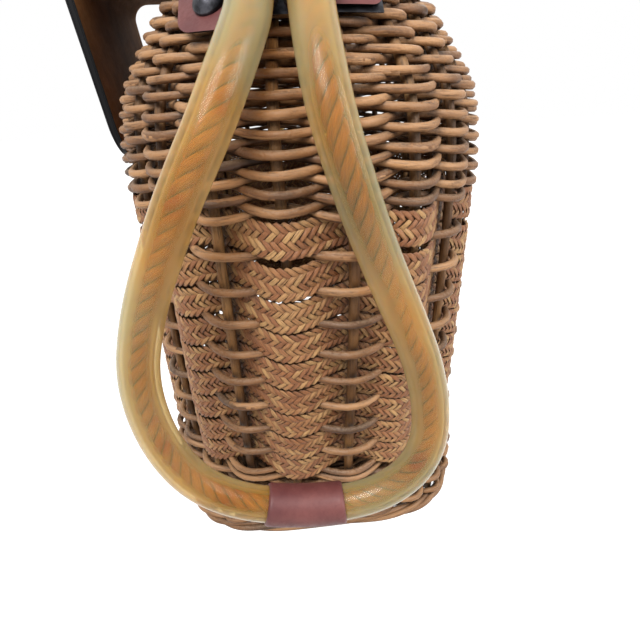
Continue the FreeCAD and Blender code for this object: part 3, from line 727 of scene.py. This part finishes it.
class CREEL_OT_lower_weave(bpy.types.Operator):
    """Weave flat plaits and single rods in turn"""

    bl_idname = "creel.lower_weave"
    bl_label = "Lower weave"

    def execute(self, context):
        look, dice, bm = start_weave(context, 2)
        lowest, rod_sink = FOOT_HEIGHT + 5 * MM, 1.9 * MM
        for row in range(look.plait_rows):
            woven_row(bm, lowest + row * look.plait_pitch - rod_sink, 0, look.rod_radius, dice, 0.4 * MM)
        finish_rods(bm, "single_rods", "lower_wall")
        straw = rod_material("plaited_straw")
        for row in range(look.plait_rows):
            middle = lowest + (row + 0.5) * look.plait_pitch
            bm = bmesh.new()
            self.plait(bm, middle, look, dice, 0.55 if row == look.plait_rows - 1 else 1.0)
            close_ends(bm)
            finish_piece(bm, "plait_%d" % (row + 1), straw, "basket", ["lower_wall"])
        return {"FINISHED"}

    def plait(self, bm, middle, look, dice, droop_share):
        """One flat plait: each strand zigzags, on top while it moves towards the middle line."""
        periods, per_period, tiers, sides, boxy = 30, 20, 4, 8, 0.6
        half_width, half_depth, layer = 0.95 * MM, 0.3 * MM, 0.42 * MM
        half = look.plait_height / 2 - half_width * 0.72
        slack = 1.9 * MM
        swing = STAKE_RADIUS + slack
        droop = look.plait_droop * droop_share
        height = Wobble(dice, 0.3 * MM)
        count = periods * per_period
        for strand in range(look.strand_count):
            centres, outward = [], []
            for i in range(count + 1):
                step = STAKE_COUNT * i / count
                share = (i / per_period + strand / look.strand_count) % 1
                zigzag = abs(share - 0.5) * 4 - 1
                rounded = zigzag * (1.12 - 0.12 * zigzag ** 2)
                over = max(-1.0, min(1.0, 2.0 * math.sin(2 * tiers * math.pi * share)))
                side = weave_side(step, 1)
                offset = -STAKE_INSET * lean_stretch(middle) + swing * side + layer * over
                level = middle + height.at(step) + half * rounded - droop * (1.1 + side) / 2
                centres.append(wall_point(step, level, offset))
                outward.append(wall_point(step, level, offset + MM) - centres[-1])
            centres[-1], outward[-1] = centres[0].copy(), outward[0].copy()
            spine = round_frames(centres, [half_width], outward, [half_depth])
            wrap_tube(bm, spine, sides, strand * 0.1 + dice.uniform(0, 9), boxy)


class CREEL_OT_foot(bpy.types.Operator):
    """Wind the foot: spaced rows of rods over a twisted bottom border"""

    bl_idname = "creel.foot"
    bl_label = "Foot"

    def execute(self, context):
        look, dice, bm = start_weave(context, 3)
        rows, lowest, pitch, twist = 9, 6.4 * MM, 3.6 * MM, 0.9 * MM
        for row in range(rows):
            woven_row(bm, lowest + row * pitch, row % 2, look.rod_radius, dice, 0.3 * MM, FOOT_FLARE, twist)
        strands, strand_radius, twist_radius = 3, 1.55 * MM, 1.35 * MM
        middle = strand_radius + twist_radius
        twisted_ring(bm, middle, FOOT_FLARE - middle, strands, strand_radius, twist_radius, dice)
        finish_rods(bm, "foot_weave", "foot_border")
        return {"FINISHED"}


class CREEL_OT_rim(bpy.types.Operator):
    """Roll the rim border"""

    bl_idname = "creel.rim"
    bl_label = "Rim border"

    def execute(self, context):
        _, dice, bm = start_weave(context, 4)
        strands, strand_radius, twist_radius = 5, 1.8 * MM, 2.2 * MM
        middle, offset = (BODY_HEIGHT + RIM_TOP) / 2, -1.25 * MM
        twisted_ring(bm, middle, offset, strands, strand_radius, twist_radius, dice)
        finish_rods(bm, "rim_rods", "rim_border")
        return {"FINISHED"}


class CREEL_OT_base(bpy.types.Operator):
    """Weave the oval floor: rods wound over and under short spokes"""

    bl_idname = "creel.base"
    bl_label = "Woven floor"

    def execute(self, context):
        _, dice, bm = start_weave(context, 5)
        low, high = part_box("base_panel")
        middle = (low.z + high.z) / 2
        squareness = oval_power(middle)
        rod, spoke, pitch = 0.85 * MM, 0.9 * MM, 1.68 * MM
        per_step, sides, spoke_points = 4, 6, 12

        def floor_point(turn, inset, z):
            return on_oval(turn, high.x - inset, high.y - inset, z, squareness)

        count = STAKE_COUNT * per_step
        for row in range(int((high.x - rod) / pitch) - 1):
            centres = []
            for i in range(count + 1):
                lift = (rod + spoke) * weave_side(i / per_step, row % 2)
                centres.append(floor_point(turn_at(i / per_step), rod + pitch * row, middle + lift))
            centres[-1] = centres[0].copy()
            wrap_tube(bm, round_frames(centres, [rod]), sides, dice.uniform(0, 9))
        splints, skin = 48, 0.3 * MM
        rings = []
        for z in (middle - skin, middle + skin):
            disc = bmesh.ops.create_circle(bm, cap_ends=True, segments=splints, radius=1.0)["verts"]
            for i, vert in enumerate(disc):
                vert.co = floor_point(2 * math.pi * i / splints, rod, z)
            rings.append(disc)
        bmesh.ops.bridge_loops(bm, edges=[e for disc in rings for e in {e for v in disc for e in v.link_edges}
                                          if len(e.link_faces) == 1])
        for k in range(STAKE_COUNT):
            turn = turn_at(k + 0.5)
            centres = [floor_point(turn, high.x * i / spoke_points, middle) for i in range(spoke_points)]
            wrap_tube(bm, round_frames(centres, [spoke]), sides, dice.uniform(0, 9))
        finish_rods(bm, "woven_floor", "base_panel")
        return {"FINISHED"}


# The loop's centre line seen from its end, from the left leg's top round to the right leg's top:
# sideways and down, in thousandths of the loop's width and drop
LOOP_POINTS = (
    (-83, 82), (-126, 141), (-176, 200), (-226, 254), (-283, 307), (-344, 366), (-402, 430), (-460, 496),
    (-509, 567), (-545, 644), (-548, 723), (-518, 810), (-452, 889), (-355, 944), (-211, 983),
    (-23, 999), (168, 1000), (310, 972), (409, 921), (455, 848), (447, 760), (411, 674), (355, 593),
    (295, 516), (243, 448), (194, 377), (158, 318), (123, 254), (102, 199), (90, 141), (83, 82),
)
LOOP_WIDTH = 103.0 * MM
LOOP_DROP = 190.0 * MM
LEG_SPACING = 17.0 * MM
TUBE_START = 8.0 * MM
REST_GAP = 0.5 * MM
PIN = Vector(next(j for j in frame["joints"] if j["name"] == "near_handle_swing")["pos_m"])


def loop_outward(z, tube_radius):
    """How far out the loop's centre line lies at height z: over the shoulder, then straight down."""
    bulge_z = BODY_HEIGHT * BULGE_SHARE
    stand_off = tube_radius + REST_GAP
    if z < bulge_z:
        return half_sizes(bulge_z)[1] + stand_off
    pin_stand_off = -PIN.y - half_sizes(PIN.z)[1]
    return half_sizes(z)[1] + stand_off + (pin_stand_off - stand_off) * (z - bulge_z) / (PIN.z - bulge_z)


def handle_line(tube_radius, per_run=6):
    """The tube's centre line: a smooth curve that touches each run between two points at its middle."""
    points = []
    for across, down in LOOP_POINTS:
        z = PIN.z - down / 1000 * LOOP_DROP
        points.append(Vector((PIN.x + across / 1000 * LOOP_WIDTH, -loop_outward(z, tube_radius), z)))
    ends = []
    for side, point in ((-1, points[0]), (1, points[-1])):
        root = PIN + Vector((side * LEG_SPACING / 2, 0, 0))
        ends.append(root + (point - root).normalized() * TUBE_START)
    points = [ends[0], *points, ends[1]]
    line = [points[0]]
    for i in range(1, len(points) - 1):
        start = points[0] if i == 1 else (points[i - 1] + points[i]) / 2
        end = points[-1] if i == len(points) - 2 else (points[i] + points[i + 1]) / 2
        for k in range(1, per_run + 1):
            share = k / per_run
            line.append(start * (1 - share) ** 2 + points[i] * 2 * share * (1 - share) + end * share ** 2)
    return line


def even_line(line, spacing):
    """Points at even steps of about the spacing along a line."""
    lengths = walked(line)
    count = round(lengths[-1] / spacing)
    found, place = [], 0
    for i in range(count + 1):
        goal = lengths[-1] * i / count
        while place < len(line) - 2 and lengths[place + 1] < goal:
            place += 1
        share = (goal - lengths[place]) / (lengths[place + 1] - lengths[place])
        found.append(line[place].lerp(line[place + 1], share))
    return found


class CREEL_OT_handles(bpy.types.Operator):
    """Bend a vinyl tube round a twisted rope at each end, with a leather grip"""

    bl_idname = "creel.handles"
    bl_label = "Handles"

    def execute(self, context):
        look = context.scene.creel_handle
        line = handle_line(look.tube_radius)
        parts = (("tube", self.tube, vinyl_material(), "amber_tube"),
                 ("rope", self.rope, rope_material(), "core_rope"),
                 ("grip", self.grip, leather_material("oxblood_leather"), "oxblood_leather"))
        for end, turn in (("near", 0), ("far", math.pi)):
            round_z = Matrix.Rotation(turn, 4, "Z")
            for part, build, material, slot in parts:
                bm = bmesh.new()
                build(bm, line, look)
                bmesh.ops.remove_doubles(bm, verts=bm.verts, dist=WELD)
                if part == "rope":
                    close_ends(bm)
                bmesh.ops.transform(bm, matrix=round_z, verts=bm.verts)
                finish_piece(bm, end + "_" + part, material, end + "_handle",
                             [end + "_handle_" + part])
        return {"FINISHED"}

    def sleeve(self, bm, line, outer, inner, edge, sides):
        """A tube with a wall, its ends rounded by edge: down the outside, back along the bore."""
        frames = round_frames(line, [1.0], [NEARWARD])
        rows = [(frames[0], outer - edge)]
        rows += [(f, outer) for f in frames[1:-1]]
        rows.append((frames[-1], outer - edge))
        rows += [(f, inner) for f in reversed(frames)]
        rows.append(rows[0])
        wrap_tube(bm, [(c, a * r, u * r) for (c, a, u), r in rows], sides, 0)

    def tube(self, bm, line, look):
        rounded, sides = 0.3 * MM, 32
        self.sleeve(bm, line, look.tube_radius, look.bore_radius, rounded, sides)

    def rope(self, bm, line, look):
        """Three strands laid round each other"""
        strands, strand_radius, twist_radius, a_turn = 3, 1.75 * MM, 1.95 * MM, 12
        frames = round_frames(even_line(line, look.rope_lay / a_turn), [1.0], [NEARWARD])
        for strand in range(strands):
            centres = []
            for i, (centre, across, up) in enumerate(frames):
                turn = -2 * math.pi * (i / a_turn + strand / strands)
                centres.append(centre + twist_radius * (across * math.cos(turn) + up * math.sin(turn)))
            wrap_tube(bm, round_frames(centres, [strand_radius], [NEARWARD]), 8, strand * 0.1)

    def grip(self, bm, line, look):
        """A leather sleeve at the bottom of the loop"""
        low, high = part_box("near_handle_grip")
        line = [c for c in even_line(line, 1 * MM) if low.x < c.x < high.x and c.z < (low.z + high.z)]
        thickness, fit, rounded, sides = 1.4 * MM, 0.02 * MM, 0.5 * MM, 40
        self.sleeve(bm, line, look.tube_radius + thickness, look.tube_radius + fit, rounded, sides)


class CREEL_OT_fittings(bpy.types.Operator):
    """Soften and finish the handles' leather tabs, studs, brackets, pins and eyes"""

    bl_idname = "creel.fittings"
    bl_label = "Handle fittings"

    def execute(self, context):
        leather, edge = leather_material("oxblood_leather"), leather_material("inked_edge")
        iron = metal_material("blackened_iron")
        for end in ("near", "far"):
            # Faces pointing down take the black edge material: partly edge ink, partly painted shade under
            # the tab
            softened_copy(end + "_tabs", end + "_handle_tabs", [leather, edge], "basket",
                          0.7 * MM, 3, lambda face: 1 if face.normal.z < -0.6 else 0)
            for part, body in (("studs", "basket"), ("bracket", "basket"), ("pin", "basket"),
                               ("eyes", end + "_handle")):
                softened_copy(end + "_" + part, end + "_handle_" + part, [iron], body, 0.3 * MM)
        return {"FINISHED"}


TONGUE_SHIFT = 20.0 * MM
TONGUE_HALF_WIDTH = 58.0 * MM
BACK_HALF_WIDTH = 55.0 * MM
TONGUE_BLEND = 34.0 * MM
LID_WIDEST_SHARE = 0.35
APRON_BEND = 13.0 * MM
APRON_LEAN = math.radians(8.0)
APRON_TURN = math.pi / 2 + APRON_LEAN
APRON_CORNER = 16.0 * MM


def curve_points(poles, count=24):
    """Points along a cubic curve with four poles."""
    found = []
    for i in range(count):
        t = i / count
        shares = (1 - t) ** 3, 3 * t * (1 - t) ** 2, 3 * t * t * (1 - t), t ** 3
        found.append(sum((Vector(pole) * share for pole, share in zip(poles, shares)), Vector((0, 0))))
    return found


def flap_outline():
    """The flap laid flat, one side's edge after the other: distance from the back edge, and Y."""
    low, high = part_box("lid_cover")
    rim_half_width = OUTLINE_SHARES[-1][1] * HALF_WIDTH
    flat = high.x - low.x - APRON_BEND
    apron = (high.z - low.z - APRON_BEND * (1 + math.sin(APRON_LEAN))) / math.cos(APRON_LEAN)
    length = flat + APRON_BEND * APRON_TURN + apron
    edge = []
    for way in (-1, 1):
        side, tongue = way * high.y, TONGUE_SHIFT + way * TONGUE_HALF_WIDTH
        back_y, widest = way * BACK_HALF_WIDTH, high.x + rim_half_width * LID_WIDEST_SHARE
        corner = high.x + rim_half_width + TONGUE_BLEND / 2
        points = curve_points([(0, back_y), (0, (side + back_y) / 2), (high.x / 2, side), (widest, side)])
        points += curve_points([(widest, side), (high.x + rim_half_width, side),
                                (corner - TONGUE_BLEND / 2, tongue), (corner, tongue)])
        points.append(Vector((corner, tongue)))
        corner_points = 9
        for i in range(corner_points):
            turn = math.pi / 2 * i / (corner_points - 1)
            points.append(Vector((length - APRON_CORNER + APRON_CORNER * math.sin(turn),
                                  tongue - way * APRON_CORNER * (1 - math.cos(turn)))))
        edge += points if way < 0 else points[::-1]
    return edge


def flap_point(along, y, lift):
    """The point so far from the flap's back edge, raised by lift from its outside, and the outward way."""
    low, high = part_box("lid_cover")
    flat = high.x - low.x - APRON_BEND
    turn = min(max((along - flat) / APRON_BEND, 0.0), APRON_TURN)
    out, down = Vector((-math.sin(turn), 0, math.cos(turn))), Vector((-math.cos(turn), 0, -math.sin(turn)))
    beyond = min(along - flat, 0.0) + max(along - flat - APRON_BEND * APRON_TURN, 0.0)
    centre = Vector((low.x + APRON_BEND, y, high.z - APRON_BEND))
    return centre + out * (APRON_BEND + lift) + down * beyond, out


class CREEL_OT_lid(bpy.types.Operator):
    """Finish the lid: cover, board and lining with inked edges"""

    bl_idname = "creel.lid"
    bl_label = "Lid"

    def execute(self, context):
        cover, lining, edge = (leather_material(name) for name in ("cover_hide", "lining_hide", "inked_edge"))
        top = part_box("lid_cover")[1].z
        layers = 5 * MM

        def side(way, face):
            """Leather on the faces of a layer's outside (1) or inside (-1), ink on its edges."""
            x, z = face.normal.x * way, face.normal.z * way
            rim = abs(z) < 0.1 and face.calc_center_median().z > top - layers
            return 0 if (z > 0.5 or x < -0.5) and not rim else 1

        softened_copy("lid_cover_leather", "lid_cover", [cover, edge], "lid", 0.3 * MM, 2,
                      lambda face: side(1, face))
        softened_copy("lid_board_core", "lid_board", [edge], "lid", 0.1 * MM, 1)
        softened_copy("lid_lining_leather", "lid_lining", [lining, edge], "lid", 0.2 * MM, 1,
                      lambda face: side(-1, face))
        return {"FINISHED"}


class CREEL_OT_stitching(bpy.types.Operator):
    """Sew the lid's layers together along its edge"""

    bl_idname = "creel.stitching"
    bl_label = "Stitching"

    def execute(self, context):
        look = context.scene.creel_leather
        edge, seam = flap_outline(), []
        for i, point in enumerate(edge):
            way = (edge[(i + 1) % len(edge)] - edge[i - 1]).normalized()
            seam.append(point + Vector((-way.y, way.x)) * look.stitch_inset)
        seam = even_line([*seam, seam[0]], look.stitch_length)
        bm = bmesh.new()
        thread_radius, hole, crest = 0.35 * MM, -0.4 * MM, -0.1 * MM
        for a, b in zip(seam, seam[1:]):
            places = [(a.lerp(b, share), lift) for share, lift in
                      ((0.1, hole), (0.28, crest), (0.62, crest), (0.8, hole))]
            points = [flap_point(place.x, place.y, lift) for place, lift in places]
            centres, outward = zip(*points)
            wrap_tube(bm, round_frames(centres, [thread_radius], [outward[1]]), 6, a.x)
        close_ends(bm)
        bmesh.ops.recalc_face_normals(bm, faces=bm.faces)
        finish_piece(bm, "lid_stitching", leather_material("waxed_linen_thread"), "lid")
        return {"FINISHED"}


class CREEL_OT_hardware(bpy.types.Operator):
    """Soften and finish the hinges, their pads and rivets, and the turn button"""

    bl_idname = "creel.hardware"
    bl_label = "Hinges and turn button"

    def execute(self, context):
        brass, leather = metal_material("old_brass"), leather_material("oxblood_leather")
        wood = rod_material("unpeeled_willow")
        bodies = {"hinge_wall_leaves": "basket", "hinge_lid_leaves": "lid", "hinge_pins": "basket",
                  "hinge_wall_rivets": "basket", "hinge_lid_rivets": "lid", "button_post": "basket",
                  "turn_button": "turn_button"}
        for part, body in bodies.items():
            softened_copy(part + "_brass", part, [brass], body, 0.35 * MM, 3)
        softened_copy("hinge_pads_leather", "hinge_packing_pads", [leather], "basket",
                      0.3 * MM)
        softened_copy("button_block_wood", "button_block", [wood], "basket", 0.5 * MM)
        return {"FINISHED"}


class CREEL_PT_panel(bpy.types.Panel):
    """Buttons that build each group of pieces"""

    bl_label = "Wicker creel"
    bl_space_type = "VIEW_3D"
    bl_region_type = "UI"
    bl_category = "Creel"

    def draw(self, context):
        for operator in OPERATORS:
            self.layout.operator(operator.bl_idname)
        for name, group in SETTINGS.items():
            for key in group.__annotations__:
                self.layout.prop(getattr(context.scene, name), key)


OPERATORS = (CREEL_OT_stage, CREEL_OT_stakes, CREEL_OT_lower_weave, CREEL_OT_upper_weave, CREEL_OT_foot,
             CREEL_OT_rim, CREEL_OT_base, CREEL_OT_handles, CREEL_OT_fittings, CREEL_OT_lid,
             CREEL_OT_stitching, CREEL_OT_hardware)
SETTINGS = {"creel_weave": WeaveSettings, "creel_handle": HandleSettings, "creel_leather": LeatherSettings}
CLASSES = (*SETTINGS.values(), *OPERATORS, CREEL_PT_panel)


def register():
    """Register the classes and hang the settings on the scene."""
    for made in CLASSES:
        bpy.utils.register_class(made)
    for name, group in SETTINGS.items():
        setattr(bpy.types.Scene, name, PointerProperty(type=group))


def unregister():
    """Undo what register does."""
    for name in SETTINGS:
        delattr(bpy.types.Scene, name)
    for made in reversed(CLASSES):
        bpy.utils.unregister_class(made)


def main():
    """Build everything in order."""
    register()
    for operator in OPERATORS:
        group, name = operator.bl_idname.split(".")
        getattr(getattr(bpy.ops, group), name)()


if __name__ == "__main__":
    main()
